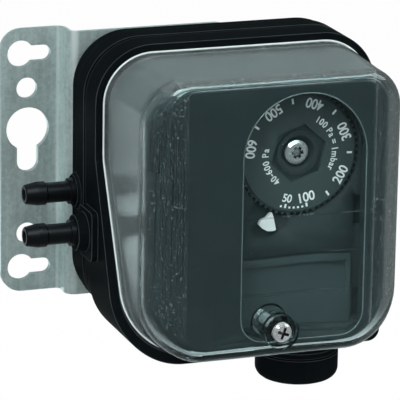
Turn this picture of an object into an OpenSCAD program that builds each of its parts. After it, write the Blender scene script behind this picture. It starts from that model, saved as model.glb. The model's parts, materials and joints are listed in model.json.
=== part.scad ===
// Differential pressure switch for air and gases, on a sheet metal wall bracket.
// Millimetres. The origin is midway between the two round wall holes of the bracket, on the
// wall plane. +X points right as seen from the front, +Y into the wall and +Z up, so the
// switch stands out from the wall towards -Y.

/* [Bracket] */
// Thickness of the bracket sheet
sheet_t = 1.5; // [1.2:0.1:1.8]
// Height of the bracket
bracket_h = 67.8; // [66:0.2:72]
// From the line of the wall holes to the free edge of the flange
flange_left = 6.8; // [6.4:0.1:9]
// From the line of the wall holes to the step of the bracket
flange_right = 8.5; // [7.8:0.1:9]
// Depth of the step that holds the switch off the wall
step_d = 6.8; // [6:0.1:9]
// Length of the inner plate behind the switch
plate_len = 44; // [38:1:60]
// Inner radius of the bends
bend_r = 1.2; // [0.8:0.1:1.5]
// Corner radius of the flange
flange_r = 5.5; // [3:0.1:6]
// Distance between the two round wall holes
hole_pitch = 37.5; // [36:0.1:39]
// Diameter of the round wall holes
hole_d = 5.4; // [4.5:0.1:5.6]
// Distance of the small keyholes from the middle
small_key_z = 27.6; // [27:0.1:28.2]
// Head diameter of the small keyholes
small_key_d = 6.8; // [6:0.1:7.2]
// Slot width of the small keyholes
small_slot_w = 4; // [3.4:0.1:4.4]
// Head diameter of the large keyhole
big_key_d = 11; // [10:0.1:11.6]
// Slot width of the large keyhole
big_slot_w = 5.5; // [4.5:0.1:6]
// Height of the head of the large keyhole above its slot end
big_key_rise = 8.3; // [8:0.1:8.6]

/* [Housing] */
// Width of the two pressure shells
body_w = 73; // [71:0.5:76]
// Height of the two pressure shells
body_h = 71.4; // [70:0.2:74]
// Corner radius of the pressure shells
body_r = 14.3; // [12:0.1:15]
// Distance of the shells' left side from the line of the wall holes
body_left = 8.8; // [8.6:0.1:12]
// Height of the shells' middle above the wall holes' middle
body_z = -0.8; // [-1.5:0.1:0]
// Depth of the rear shell
rear_d = 11.9; // [11.4:0.1:14]
// Depth of the band of the front shell that meets the diaphragm
flange_d = 4.6; // [4.2:0.1:6]
// Thickness of the shells' plain walls
wall_t = 2.3; // [2:0.1:2.8]
// Least wall beside the round pressure chamber
chamber_wall = 7.2; // [6.8:0.1:8]
// Distance of the shell screws from the shells' sides
screw_in = 8.5; // [8.2:0.1:8.8]
// Step between the two depths of the rear shell
shell_step = 0.5; // [0.3:0.1:0.8]
// Lowest point of the front shell below the wall holes' middle
tub_low = 41; // [40.5:0.1:43]
// Lower corner radius of the front shell
tub_r = 17; // [15:0.5:18]
// Width of the black ledge outside the cover
ledge_w = 2; // [1.6:0.1:2.4]
// Thickness of the front shell's rim wall
rim_w = 4.8; // [4.6:0.1:5.4]
// Distance of the upper rim from the wall
rim_y = 29.6; // [29.4:0.1:32]
// Height at which the rim starts to lean forward
rim_bend_z = 7; // [4:0.5:12]
// Lean of the lower rim in degrees
rim_lean = 21; // [19:0.5:22]

/* [Diaphragm and plunger] */
// Thickness of the diaphragm's clamped edge
bead_t = 1.6; // [1.4:0.1:2]
// How far the clamped edge stays behind the shells' sides
bead_in = 0.9; // [0.6:0.1:1.4]
// Thickness of the diaphragm's membrane
membrane_t = 0.6; // [0.5:0.05:0.8]
// Width of the soft ring round the diaphragm plate
soft_w = 9.5; // [8.5:0.5:10.5]
// Radius of the plunger
plunger_r = 2; // [1.8:0.1:2.4]
// Running clearance round the plunger
plunger_gap = 0.05; // [0.03:0.01:0.08]

/* [Hose nozzles] */
// Radius of a nozzle's stem
stem_r = 2.55; // [2.3:0.05:2.7]
// Radius of a nozzle's barb
barb_r = 2.95; // [2.8:0.05:3.1]
// Bore radius of a nozzle
port_r = 1.3; // [1:0.1:1.5]
// Length of a nozzle outside its collar
nozzle_len = 12.6; // [11:0.1:14]
// Distance of the upper nozzle from the wall
high_y = 14.2; // [14:0.1:14.6]
// Height of the upper nozzle
high_z = -4.9; // [-5.5:0.1:-4]
// Distance of the lower nozzle from the wall
low_y = 25.8; // [25.6:0.1:26.2]
// Height of the lower nozzle
low_z = -12.1; // [-13:0.1:-11.5]

/* [Cover] */
// Distance of the cover's flat front from the wall
front_y = 61; // [60:0.1:62.5]
// Thickness of the cover
cover_t = 2.2; // [2:0.1:2.3]
// Radius of the large upright edges of the front
side_r = 9.5; // [8:0.1:11]
// Radius of the upper front edge
top_r = 2.6; // [2.4:0.1:3.2]
// Radius of the lower front edge
low_r = 3.4; // [3:0.1:3.8]
// How much the cover narrows on each side from rim to front
side_draft = 1.3; // [1:0.1:1.5]
// How much the cover's top comes down from rim to front
top_draft = 0.3; // [0.2:0.1:0.6]
// How much the cover's underside rises from rim to front
low_draft = 1.6; // [1.2:0.1:1.8]
// Radius of the screw boss
boss_r = 4.25; // [4.1:0.05:4.4]
// How far the screw boss stands out of the front
boss_out = 1.6; // [1.4:0.1:2.4]

/* [Switch frame] */
// Gap between the cover and the frame
frame_gap = 0.6; // [0.5:0.05:0.8]
// Thickness of the frame's side walls
skirt_t = 1.8; // [1.6:0.1:2.2]
// Thickness of the frame's front wall
front_t = 3.2; // [3:0.1:3.6]
// How far the arched window stands right of the middle
window_off = 6.75; // [6.5:0.05:7.1]
// From the top of the shells down to the middle of the window's arch
arch_drop = 22.9; // [22.7:0.1:23.3]
// Half width of the arched window
window_r = 15.65; // [15.6:0.05:16]
// From the bottom of the front shell up to the window's lower edge
window_up = 7.6; // [7.4:0.1:7.8]
// Corner radius at the foot of the window
window_corner = 6; // [5:0.1:7]
// Thickness of the frame's deck behind the dial
deck_t = 2; // [1.8:0.1:2.2]
// Radius of the pocket for the pointer
pocket_r = 5.1; // [4.8:0.1:5.3]

/* [Dial and spring] */
// How far the dial's axis stands right of the window's middle
dial_off = 0.55; // [0.4:0.05:0.7]
// How far the dial's axis lies below the middle of the window's arch
dial_drop = 0.5; // [0.3:0.1:0.7]
// From the cover's flat front back to the dial's face
face_back = 8.5; // [8.2:0.1:8.8]
// Radius of the dial's face
face_r = 14.5; // [14:0.1:14.8]
// Radius over the dial's teeth
teeth_r = 15.4; // [15.2:0.1:15.6]
// Number of teeth round the dial
teeth_n = 60; // [40:1:72]
// Thickness of the dial
dial_t = 1.5; // [1.4:0.1:1.6]
// Width across the corners of the dial's hexagonal opening
hex_d = 14.6; // [14:0.1:15]
// Turns of the range spring
spring_turns = 5; // [4:1:6]
// Mean radius of the range spring
spring_r = 4.6; // [4.4:0.1:4.8]
// Wire radius of the range spring
wire_r = 0.45; // [0.4:0.05:0.5]

/* [Rocker and microswitch] */
// Height of the rocker's pivot
pivot_z = -17; // [-17.5:0.5:-16.5]
// Distance of the rocker's pivot from the wall
pivot_y = 33.4; // [33.2:0.1:33.8]
// Thickness of the rocker sheet
rocker_t = 1; // [0.9:0.1:1.1]
// Radius of the pivot pin
pin_r = 1; // [0.9:0.05:1.1]
// Distance of the microswitch from the shells' left side
micro_in = 11.2; // [10.8:0.1:11.8]
// Width of the microswitch
micro_w = 10.3; // [10:0.1:10.4]
// Height of the microswitch
micro_h = 27.8; // [27.6:0.1:28]
// Depth of the microswitch
micro_d = 15; // [14.6:0.1:15.4]

/* [Cable gland] */
// Distance of the gland's axis from the shells' right side
gland_in = 22.2; // [21.6:0.1:22.6]
// Distance of the gland's axis from the wall
gland_y = 37; // [36.8:0.1:37.2]
// Outer radius of the gland nut
nut_r = 10.4; // [10:0.1:10.5]
// Height of the gland nut
nut_h = 6.7; // [6.4:0.1:7.4]
// Bore radius of the gland's seal
cable_r = 3.5; // [3:0.1:4]

/* [Hidden] */

black = [0.09, 0.10, 0.11];
grey = [0.17, 0.19, 0.20];
zinc = [0.66, 0.72, 0.70];
steel = [0.78, 0.79, 0.80];
brass = [0.80, 0.66, 0.34];
rubber = [0.12, 0.12, 0.12];
clear = [0.72, 0.80, 0.80, 0.35];

$fn = 64;
// a little past each face, so that a cut leaves no skin
eps = 0.5;
// clearance between a screw's shank and its hole
screw_gap = 0.05;

// the shells
plane_y = -(step_d + sheet_t);
bead_y = plane_y - rear_d;
seat_y = bead_y - bead_t;
band_y = seat_y - flange_d;
floor_y = band_y - wall_t;
body_x = body_left + body_w / 2;
body_top = body_z + body_h / 2;
chamber_r = min(body_w, body_h) / 2 - chamber_wall;
plate_r = chamber_r - soft_w;
// beyond everything, for cuts
deep = 90;

// the rim of the front shell: upright above rim_bend_z, leaning forward below it
function rim_at(z) = -rim_y - max(0, rim_bend_z - z) * tan(rim_lean);

// the cover
cover_in = ledge_w;
skirt_in = ledge_w + cover_t + frame_gap;
cover_half = body_w / 2 - ledge_w;
cover_top = body_top - ledge_w;
cover_low = -tub_low + ledge_w;

// the frame's levels, counted towards the front
plate_front = -front_y + cover_t + frame_gap;
plate_back = plate_front + front_t;
dial_y = front_y - face_back;
deck_front = -dial_y + dial_t + 0.3;
deck_back = deck_front + deck_t;

// the window and the dial's axis
window_x = body_x + window_off;
window_z = body_top - arch_drop;
window_low = window_up - tub_low;
deck_low = window_low - 1.2;
dial_x = window_x + dial_off;
dial_z = window_z - dial_drop;

// the cover screw
lock_x = body_x + 0.4;
lock_z = 10.6 - tub_low;
lock_neck = 3;
lock_r = 1.5;
lock_post_y = deck_back + 4.7;
boss_back = plate_back + 2.4;

// the screws of the shells, counted from the shells' middle
shell_screw_x = body_w / 2 - screw_in;
shell_screw_z = body_h / 2 - screw_in;
shell_screw_r = 1.5;
head_sink = 2.6;

// the screws of the bracket
plate_screw_x = flange_right + 26;
plate_screw_z = 20;
bracket_screw_r = 1.75;

// the posts and screws that carry the frame, under the dial
frame_post_x = [dial_x - 5.5, dial_x + 5.5];
frame_post_z = dial_z + 11;
frame_post_end = deck_back + 4;
frame_screw_r = 1.25;
frame_head_y = deck_front + 1.7;

// the nozzles
socket_d = 4;
press_gap = 0.02;
high_land = 0.8;
low_boss = 4.2;

// the rocker and what it meets
rocker_back = -pivot_y + rocker_t / 2;
rocker_front = rocker_back - rocker_t;
lug_w = 2.4;
lug_left = body_x - 9;
lug_right = body_x + 9;
micro_x = body_left + micro_in;
micro_back = rocker_front - 1.6;
micro_z = -9.5;
// the deck starts beside the microswitch
deck_left = max(window_x - 21, micro_x + micro_w + 0.75);
button_x = micro_x + micro_w / 2;
button_z = 13.4;
micro_pin_y = micro_back - 12.4;
micro_pin_z = [micro_z + 3, micro_z + micro_h - 3];

// the spindle, the nut and the range spring
spindle_r = 2.5;
neck_r = 4.4;
cup_r = 4.3;
hex_turn = 18;
nut_len = 4;
nut_w = 12;
nut_seat_y = rocker_front - 9.4;
guide_back = rocker_front - 3.6;

// the pointer's pocket
pocket_x = dial_x - 7.6;
pocket_z = dial_z - 15.4;
pocket_floor = deck_front - 0.3;

// the terminals behind the deck
term_x0 = window_x - 14;
term_back = deck_back + 8.1;
term_z0 = -26.4;
term_h = 11.4;
term_d = 8;
term_w = 7.2;
term_wall = 1.2;
term_screw_r = 1.5;
term_pitch = 9;
term_mid = term_z0 + term_h / 2;
bay_ledge = 0.8;

// lower ends of the two small pockets at the right of the window
pocket_rows = [dial_z - 18.8, window_low + 3.1];

// heights of the thin lines on the window
window_lines = [-2.2, -11.6, -21];

// the gland
gland_x = body_left + body_w - gland_in;
gland_thread_r = 7.9;
entry_low = -tub_low - 1.2;
gland_end = entry_low + 2.8 - nut_h;

// Points of a quarter round, from angle a0 to a1, about [cx, cy]
function arc(cx, cy, r, a0, a1, n = 5) =
    [for (i = [0:n]) let (a = a0 + (a1 - a0) * i / n) [cx + r * cos(a), cy + r * sin(a)]];

// Extrudes an XZ drawing from depth y towards the front
module fwd(y, d) {
    translate([0, y, 0]) rotate([90, 0, 0]) linear_extrude(d) children();
}

// Extrudes a YZ drawing along X
module across(x, w) {
    translate([x, 0, 0]) rotate([90, 0, 90]) linear_extrude(w) children();
}

// A round bar from depth y towards the front
module bar_y(x, z, r, y, d) {
    translate([x, y, z]) rotate([90, 0, 0]) cylinder(h = d, r = r);
}

// A revolved part about an axis along Y: profile points are [radius, y]
module turned_y(x, z, pts) {
    translate([x, 0, z]) rotate([-90, 0, 0]) rotate_extrude() polygon(pts);
}

// A revolved part about an axis along X: profile points are [radius, x]
module turned_x(y, z, pts) {
    translate([0, y, z]) rotate([0, 90, 0]) rotate_extrude() polygon(pts);
}

// A revolved part about an axis along Z: profile points are [radius, z]
module turned_z(x, y, pts) {
    translate([x, y, 0]) rotate_extrude() polygon(pts);
}

// A rounded rectangle
module round_rect(x0, x1, z0, z1, r) {
    translate([x0, z0 + r]) square([x1 - x0, z1 - z0 - 2 * r]);
    translate([x0 + r, z0]) square([x1 - x0 - 2 * r, z1 - z0]);
    for (x = [x0 + r, x1 - r], z = [z0 + r, z1 - r]) translate([x, z]) circle(r);
}

// A rounded box about the shells' middle, its edge profile given as [inset, y] points:
// four turned corners and the two straight spans between them
module edge_box(w, h, r, pts) {
    hx = w / 2 - r;
    hz = h / 2 - r;
    last = len(pts) - 1;
    turned = concat([[0, pts[0][1]]], [for (p = pts) [r - p[0], p[1]]], [[0, pts[last][1]]]);
    plan = concat([for (p = pts) [w / 2 - p[0], p[1]]],
        [for (i = [last:-1:0]) [-w / 2 + pts[i][0], pts[i][1]]]);
    side = concat([for (p = pts) [p[1], h / 2 - p[0]]],
        [for (i = [last:-1:0]) [pts[i][1], -h / 2 + pts[i][0]]]);
    translate([body_x, 0, body_z]) {
        for (x = [-hx, hx], z = [-hz, hz]) turned_y(x, z, turned);
        translate([0, 0, -hz]) linear_extrude(2 * hz) polygon(plan);
        across(-hx, 2 * hx) polygon(side);
    }
}

// Outline of the front shell seen from the front, set in by i: the lower corners are rounder
module tub_outline(i) {
    x0 = body_left + i;
    x1 = body_left + body_w - i;
    z0 = -tub_low + i;
    z1 = body_top - i;
    rl = tub_r - i;
    rt = body_r - i;
    translate([x0, z0 + rl]) square([x1 - x0, z1 - z0 - rl - rt]);
    translate([x0 + rl, z0]) square([x1 - x0 - 2 * rl, z1 - z0 - rt]);
    translate([x0 + rt, z0 + rl]) square([x1 - x0 - 2 * rt, z1 - z0 - rl]);
    for (x = [x0 + rl, x1 - rl]) translate([x, z0 + rl]) circle(rl);
    for (x = [x0 + rt, x1 - rt]) translate([x, z1 - rt]) circle(rt);
}

// Everything in front of the rim, moved forward by d, up to a depth
module before_rim(d, depth = 2 * deep) {
    z0 = -tub_low - 10;
    z1 = body_top + 10;
    across(body_left - 20, body_w + 40)
        polygon([[rim_at(z1) - d, z1], [rim_at(rim_bend_z) - d, rim_bend_z], [rim_at(z0) - d, z0],
            [-depth, z0], [-depth, z1]]);
}

// The cover's outer form, set in by i: a plan with large side radii, a side view with small
// ones and a front view with round corners, all three intersected
module cover_form(i) {
    run = front_y - side_r - rim_y;
    half_front = cover_half - side_draft;
    half_wall = cover_half + side_draft * rim_y / run;
    bend_y = -front_y + side_r;
    top_front = cover_top - top_draft;
    top_wall = cover_top + top_draft * rim_y / run;
    low_front = cover_low + low_draft;
    low_wall = cover_low - low_draft * rim_y / run;
    rt = max(top_r - i, 0.3);
    rl = max(low_r - i, 0.3);
    intersection() {
        translate([body_x, 0, -deep]) linear_extrude(2 * deep) union() {
            polygon([[i - half_wall, 0], [half_wall - i, 0], [half_front - i, bend_y],
                [i - half_front, bend_y]]);
            translate([side_r - half_front, i - front_y]) square([2 * (half_front - side_r), side_r]);
            for (s = [-1, 1]) translate([s * (half_front - side_r), bend_y]) circle(side_r - i);
        }
        across(-deep, 4 * deep) union() {
            polygon([[0, low_wall + i], [0, top_wall - i], [i + rt - front_y, top_front - i],
                [i - front_y, top_front - i - rt], [i - front_y, low_front + i + rl],
                [i + rl - front_y, low_front + i]]);
            translate([i + rt - front_y, top_front - i - rt]) circle(rt);
            translate([i + rl - front_y, low_front + i + rl]) circle(rl);
        }
        fwd(0, deep) tub_outline(cover_in + i);
    }
}

// A screw: the head's seat lies at depth y, the shank reaches forward by len
module screw_fwd(x, z, head_r, head_h, shank_r, y, len, slot_w, bit = 0.8) {
    difference() {
        union() {
            bar_y(x, z, head_r, y + head_h, head_h);
            bar_y(x, z, shank_r, y, len);
        }
        for (a = [0, 90]) translate([x, y + head_h - bit / 2 + eps / 2, z]) rotate([0, a, 0])
            cube([head_r * 1.3, bit + eps, slot_w], center = true);
    }
}

module bracket() {
    xj = flange_right;
    x_end = xj + plate_len;
    color(zinc) difference() {
        intersection() {
            translate([0, 0, -bracket_h / 2]) linear_extrude(bracket_h) bracket_plan(xj, x_end);
            fwd(eps, step_d + sheet_t + 2 * eps)
                round_rect(-flange_left, x_end, -bracket_h / 2, bracket_h / 2, flange_r);
        }
        for (s = [-1, 1]) {
            bar_y(0, s * hole_pitch / 2, hole_d / 2, eps, sheet_t + 2 * eps);
            small_keyhole(s * small_key_z);
            bar_y(plate_screw_x, s * plate_screw_z, bracket_screw_r + screw_gap, eps - step_d,
                sheet_t + 2 * eps);
        }
        bar_y(0.2, big_key_rise, big_key_d / 2, eps, sheet_t + 2 * eps);
        bar_y(0.2, 0, big_slot_w / 2, eps, sheet_t + 2 * eps);
        translate([0.2 - big_slot_w / 2, -sheet_t - eps, 0])
            cube([big_slot_w, sheet_t + 2 * eps, big_key_rise]);
    }
}

// The bracket seen from above: wall flange, step and inner plate with its two bends
module bracket_plan(xj, x_end) {
    ro = bend_r + sheet_t;
    translate([-flange_left - 1, -sheet_t]) square([flange_left + 1 + xj - bend_r, sheet_t]);
    quarter_ring(xj - bend_r, -ro, bend_r, ro, 0);
    translate([xj, bend_r - step_d]) square([sheet_t, step_d - bend_r - ro]);
    quarter_ring(xj + ro, bend_r - step_d, bend_r, ro, 180);
    translate([xj + ro, -step_d - sheet_t]) square([x_end - xj - ro, sheet_t]);
}

module quarter_ring(x, y, ri, ro, turn) {
    translate([x, y]) rotate(turn) intersection() {
        difference() {
            circle(ro);
            circle(ri);
        }
        square(ro);
    }
}

// A keyhole lying on its side: the head on the left, the slot to the right
module small_keyhole(z) {
    head_x = -1.6;
    end_x = 4.15;
    bar_y(head_x, z, small_key_d / 2, eps, sheet_t + 2 * eps);
    bar_y(end_x, z, small_slot_w / 2, eps, sheet_t + 2 * eps);
    translate([head_x, -sheet_t - eps, z - small_slot_w / 2])
        cube([end_x - head_x, sheet_t + 2 * eps, small_slot_w]);
}

module bracket_screws() {
    color(steel) for (s = [-1, 1])
        screw_fwd(plate_screw_x, s * plate_screw_z, 3.1, 2, bracket_screw_r, -step_d, 6.4, 0.9);
}

// The rear pressure shell: a shallow cup with a round chamber, open to the front
module rear_shell() {
    edge = 2;
    color(black) difference() {
        union() {
            difference() {
                edge_box(body_w, body_h, body_r,
                    concat(arc(shell_step + edge, plane_y - edge, edge, 90, 180),
                        [[shell_step, plane_y - rear_d / 2], [0, plane_y - rear_d / 2 - shell_step],
                            [0, bead_y]]));
                bar_y(body_x, body_z, chamber_r, plane_y - wall_t, rear_d);
            }
            for (s = [-1, 1])
                bar_y(plate_screw_x, s * plate_screw_z, 3.6, plane_y - wall_t + eps, 4.6 + eps);
            // land for the upper nozzle
            turned_x(-high_y, high_z, [[0, body_left - high_land], [4, body_left - high_land],
                [4.6, body_left], [4.6, body_left + 2], [0, body_left + 2]]);
        }
        for (s = [-1, 1])
            bar_y(plate_screw_x, s * plate_screw_z, bracket_screw_r + screw_gap, plane_y + eps, 6 + eps);
        for (sx = [-1, 1], sz = [-1, 1]) {
            bar_y(body_x + sx * shell_screw_x, body_z + sz * shell_screw_z, 3.2, plane_y + eps,
                head_sink + eps);
            bar_y(body_x + sx * shell_screw_x, body_z + sz * shell_screw_z, shell_screw_r + screw_gap,
                plane_y + eps, rear_d + 2 * eps);
        }
        nozzle_socket(-high_y, high_z, body_x - chamber_r);
    }
}

module shell_screws() {
    run = rear_d - head_sink + bead_t + flange_d - 0.6;
    color(steel) for (sx = [-1, 1], sz = [-1, 1])
        screw_fwd(body_x + sx * shell_screw_x, body_z + sz * shell_screw_z, 2.8, 2, shell_screw_r,
            plane_y - head_sink, run, 0.9);
}

// A round bar along X
module bar_x(y, z, r, x0, x1) {
    translate([x0, y, z]) rotate([0, 90, 0]) cylinder(h = x1 - x0, r = r);
}

// The hole that a nozzle is pressed into, and the passage behind it to the chamber
module nozzle_socket(y, z, x_end) {
    bar_x(y, z, stem_r + press_gap, body_left - 8, body_left + socket_d);
    bar_x(y, z, port_r, body_left, x_end + 4);
}

// A hose nozzle: tip with one barb, stem, collar against the shell and spigot inside it
module nozzle(y, z, x_seat) {
    tip = x_seat - nozzle_len;
    barb_len = 5.2;
    color(black) turned_x(y, z, [[port_r, tip + 0.3], [port_r + 0.3, tip], [stem_r - 0.45, tip],
        [stem_r - 0.15, tip + 0.3], [barb_r, tip + barb_len - 2], [barb_r, tip + barb_len],
        [stem_r, tip + barb_len + 0.4], [stem_r, x_seat - 1.2], [stem_r + 0.7, x_seat - 1.2],
        [stem_r + 0.7, x_seat], [stem_r, x_seat], [stem_r, body_left + socket_d],
        [port_r, body_left + socket_d]]);
}

module nozzle_high() { nozzle(-high_y, high_z, body_left - high_land); }

module nozzle_low() { nozzle(-low_y, low_z, body_left - low_boss); }

// The diaphragm: a flat clamped edge with the shells' outline, and a membrane with one roll
module diaphragm() {
    mid = bead_y - bead_t / 2;
    roll_r = 3;
    roll_at = (plate_r + chamber_r) / 2;
    h = membrane_t / 2;
    color(rubber) {
        difference() {
            edge_box(body_w, body_h, body_r, [[bead_in, bead_y], [bead_in, seat_y]]);
            bar_y(body_x, body_z, chamber_r, bead_y + eps, bead_t + 2 * eps);
            for (sx = [-1, 1], sz = [-1, 1])
                bar_y(body_x + sx * shell_screw_x, body_z + sz * shell_screw_z,
                    shell_screw_r + screw_gap, bead_y + eps, bead_t + 2 * eps);
        }
        turned_y(body_x, body_z, concat([[0, mid - h], [roll_at - roll_r, mid - h]],
            arc(roll_at, mid - h, roll_r - membrane_t, 180, 0, 8), [[chamber_r + 0.2, mid - h],
                [chamber_r + 0.2, mid + h]],
            arc(roll_at, mid + h - membrane_t, roll_r, 0, 180, 8), [[0, mid + h]]));
    }
}

// The stiff disc in front of the membrane, with the hub that carries the plunger
module diaphragm_plate() {
    y = bead_y - bead_t / 2 - membrane_t / 2;
    r = plate_r - 2.2;
    color(steel) turned_y(body_x, body_z, [[0, y], [r - 0.5, y], [r, y - 0.4], [r, y - 1.6],
        [r - 0.8, y - 1.6], [r - 0.8, y - 1], [5, y - 1], [5, y - 2.6], [0, y - 2.6]]);
}

// The plunger, with a domed end against the rocker
module plunger() {
    y0 = bead_y - bead_t / 2 - membrane_t / 2 - 2.6;
    y1 = rocker_back + 0.05;
    color(steel) turned_y(body_x, body_z, [[0, y0], [plunger_r, y0], [plunger_r, y1 + 1.2],
        [plunger_r - 0.5, y1 + 0.4], [0.4, y1], [0, y1]]);
}

// The front pressure shell: chamber half at the back, open tub for the switch in front
module front_shell() {
    color(black) difference() {
        union() {
            edge_box(body_w, body_h, body_r, [[0, seat_y], [0, band_y + 0.3], [0.3, band_y]]);
            difference() {
                fwd(band_y + 1, deep) tub_outline(0);
                before_rim(0);
            }
            entry_box();
            low_nozzle_boss();
            // guide for the plunger
            bar_y(body_x, body_z, 5, floor_y + eps, 1.6 + eps);
            pivot_lugs();
            lock_post();
            frame_posts();
        }
        intersection() {
            fwd(floor_y, deep) tub_outline(rim_w);
            tub_room();
        }
        bar_y(body_x, body_z, chamber_r, seat_y + eps, flange_d + eps);
        gasket_band(0);
        bar_y(body_x, body_z, plunger_r + plunger_gap, seat_y, 20);
        for (sx = [-1, 1], sz = [-1, 1])
            bar_y(body_x + sx * shell_screw_x, body_z + sz * shell_screw_z,
                shell_screw_r + screw_gap, seat_y + eps, flange_d + eps);
        nozzle_socket(-low_y, low_z, body_x - chamber_r);
        // thread hole of the gland
        translate([gland_x, -gland_y, -tub_low - 6]) cylinder(h = 14, r = gland_thread_r + screw_gap);
    }
}

// The hollow of the tub, less the posts and lugs that stand in it
module tub_room() {
    difference() {
        fwd(floor_y, deep) tub_outline(rim_w);
        bar_y(body_x, body_z, 5, floor_y + eps, 1.6 + eps);
        pivot_lugs();
        lock_post();
        frame_posts();
    }
}

// The box under the tub and the round pad that the cable gland screws into
module entry_box() {
    x0 = gland_x - nut_r - 0.8;
    x1 = body_left + body_w - 1.9;
    y0 = -gland_y + nut_r + 0.8;
    y1 = -gland_y - 4.5;
    difference() {
        union() {
            fwd(y0, y0 - y1) round_rect(x0, x1, entry_low, -tub_low + 12, 3);
            translate([gland_x, -gland_y, entry_low]) cylinder(h = 3, r = nut_r - 0.2);
        }
        before_rim(0);
    }
}

// The cone and block that carry the lower nozzle
module low_nozzle_boss() {
    x0 = body_left - low_boss;
    back = seat_y - 0.2;
    difference() {
        turned_x(-low_y, low_z, [[0, x0], [4.4, x0], [4.9, x0 + 2.2], [4.9, body_left + 2],
            [0, body_left + 2]]);
        translate([x0 - eps, back, low_z - 6]) cube([low_boss + 4, 6, 12]);
    }
    difference() {
        across(body_left - 1.6, 4) round_rect(-low_y - 6.4, back, low_z - 6.2, low_z + 6.2, 1.5);
        before_rim(0);
    }
}

// Two lugs in the tub that hold the rocker's pin
module pivot_lugs() {
    for (x = [lug_left, lug_right]) difference() {
        union() {
            translate([x - lug_w / 2, -pivot_y, pivot_z - 3]) cube([lug_w, pivot_y + floor_y + eps, 6]);
            bar_x(-pivot_y, pivot_z, 3, x - lug_w / 2, x + lug_w / 2);
        }
        bar_x(-pivot_y, pivot_z, pin_r + press_gap, x - lug_w, x + lug_w);
    }
}

// The post that the cover screw goes into
module lock_post() {
    difference() {
        bar_y(lock_x, lock_z, 3.6, floor_y + eps, floor_y - lock_post_y + eps);
        bar_y(lock_x, lock_z, lock_r + 0.3, floor_y - 4, deep);
    }
}

// Posts that the switch frame is screwed to
module frame_posts() {
    for (x = frame_post_x) difference() {
        bar_y(x, frame_post_z, 3, floor_y + eps, floor_y - frame_post_end + eps);
        bar_y(x, frame_post_z, frame_screw_r + screw_gap, floor_y - 4, deep);
    }
}

// The band of space in front of the rim's groove floor, for the groove and for the gasket
module gasket_band(gap) {
    intersection() {
        difference() {
            fwd(0, deep) tub_outline(cover_in + 0.5 + gap);
            fwd(eps, deep + 2 * eps) tub_outline(cover_in + 1.7 - gap);
        }
        difference() {
            before_rim(-1);
            before_rim(0);
        }
    }
}

module cover_gasket() { color(rubber) gasket_band(0.1); }

// The rocker: a sheet lever on a pin, pushed by the plunger and held back by the range spring
module rocker() {
    ear_out = lug_right - body_x - lug_w / 2 - 0.4;
    ear_w = 1.6;
    color(zinc) difference() {
        union() {
            fwd(rocker_back, rocker_t) {
                round_rect(body_x - ear_out, body_x + ear_out, pivot_z - 1.5, 6, 1.4);
                round_rect(micro_x + 1.5, dial_x + 6, 4, dial_z + 5, 2);
            }
            for (x = [body_x - ear_out, body_x + ear_out - ear_w])
                bar_x(-pivot_y, pivot_z, 2.4, x, x + ear_w);
        }
        bar_x(-pivot_y, pivot_z, pin_r + plunger_gap, body_x - ear_out - 1, body_x + ear_out + 1);
    }
}

module rocker_pin() {
    color(steel) bar_x(-pivot_y, pivot_z, pin_r, lug_left - lug_w / 2, lug_right + lug_w / 2);
}

// The range spring: a round wire swept along a helix, from the rocker to the spring nut
module range_spring() {
    y0 = rocker_front - wire_r;
    y1 = nut_seat_y + wire_r;
    sides = 8;
    per_turn = 14;
    n = spring_turns * per_turn;
    pts = [for (k = [0:n]) let (a = 360 * k / per_turn, y = y0 + (y1 - y0) * k / n)
        for (j = [0:sides - 1]) let (b = 360 * j / sides, r = spring_r + wire_r * cos(b))
            [dial_x + r * cos(a), y + wire_r * sin(b), dial_z + r * sin(a)]];
    walls = [for (k = [0:n - 1], j = [0:sides - 1]) let (m = (j + 1) % sides)
        [k * sides + j, k * sides + m, (k + 1) * sides + m, (k + 1) * sides + j]];
    ends = [[for (j = [sides - 1:-1:0]) j], [for (j = [0:sides - 1]) n * sides + j]];
    color(steel) polyhedron(points = pts, faces = concat(walls, ends), convexity = 10);
}

// The nut that loads the spring: square outside, so it slides in the frame's guide
module spring_nut() {
    color(brass) fwd(nut_seat_y, nut_len) translate([dial_x, dial_z]) difference() {
        square(nut_w, center = true);
        circle(spindle_r + plunger_gap);
    }
}

// The adjusting spindle: a hexagon in the dial with a round cup, a neck in the deck, a collar
// behind the deck and a threaded end
module dial_spindle() {
    hex_h = 0.65;
    cup_y = -dial_y + 0.4;
    cup_floor = deck_front + 0.5;
    color(grey) difference() {
        union() {
            fwd(-dial_y + dial_t, hex_h) translate([dial_x, dial_z]) rotate(hex_turn)
                circle(hex_d / 2 - 0.05, $fn = 6);
            bar_y(dial_x, dial_z, cup_r + 1.1, -dial_y + dial_t, dial_t - 0.4);
            bar_y(dial_x, dial_z, neck_r, deck_back + 0.3, deck_back + 0.3 + dial_y - dial_t);
            bar_y(dial_x, dial_z, neck_r + 0.9, deck_back + 1.1, 0.9);
            bar_y(dial_x, dial_z, spindle_r, nut_seat_y + 1, nut_seat_y + 1 - deck_back);
        }
        turned_y(dial_x, dial_z, [[0, cup_y - eps], [cup_r + 0.2, cup_y - eps], [cup_r - 0.8, cup_floor],
            [0, cup_floor]]);
        bar_y(dial_x, dial_z, 1.2, cup_floor + 5, 8);
    }
}

// The dial: a smooth face in front of a toothed rim, with a hexagonal opening
module dial() {
    color(grey) difference() {
        union() {
            turned_y(dial_x, dial_z, [[0, -dial_y + dial_t], [face_r, -dial_y + dial_t],
                [face_r, -dial_y + 0.2], [face_r - 0.2, -dial_y], [0, -dial_y]]);
            fwd(-dial_y + dial_t, dial_t - 0.5) translate([dial_x, dial_z]) teeth_outline();
        }
        fwd(deep, 2 * deep) translate([dial_x, dial_z]) rotate(hex_turn) circle(hex_d / 2, $fn = 6);
    }
}

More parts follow.
